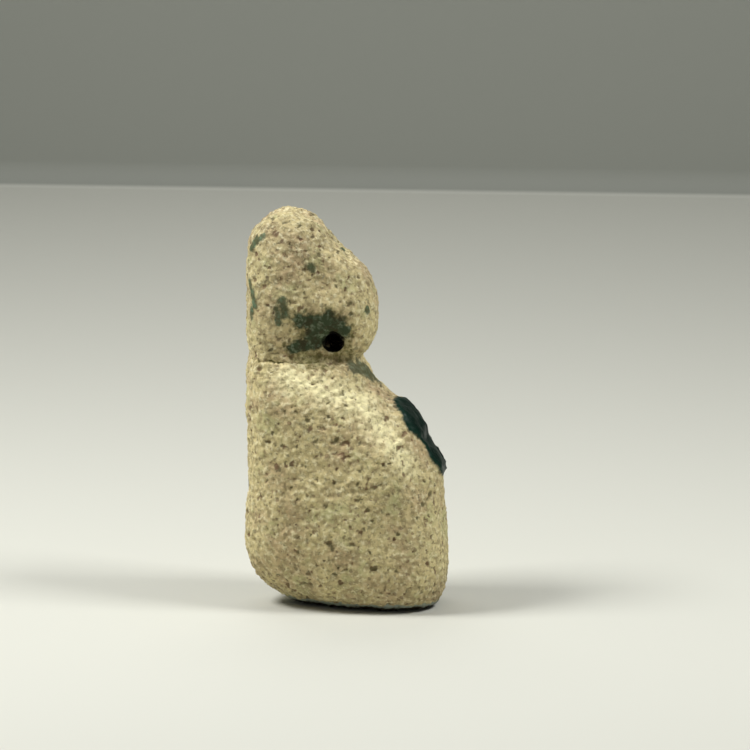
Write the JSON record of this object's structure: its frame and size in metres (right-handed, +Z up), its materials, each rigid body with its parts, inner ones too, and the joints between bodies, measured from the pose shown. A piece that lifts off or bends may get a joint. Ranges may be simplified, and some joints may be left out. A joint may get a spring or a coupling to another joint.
{
  "type": "faience cat amulet",
  "caption": "Small seated cat amulet of worn faience: blunt head over a waisted neck pierced side to side for a cord, upright back, sloping breast and rounded foot.",
  "frame": {"origin": "on the sole, under the middle of the amulet's box", "axes": "+Z up from the sole to the ears, +X the way the cat faces, +Y to the flank away from the picture's camera"},
  "size_m": [0.0102, 0.0068, 0.02],
  "materials": {
    "faience": "worn and pitted, with rests of glossy dark blue-green glaze"
  },
  "bodies": {
    "root": {"amulet_body": "faience"}
  },
  "joints": []
}
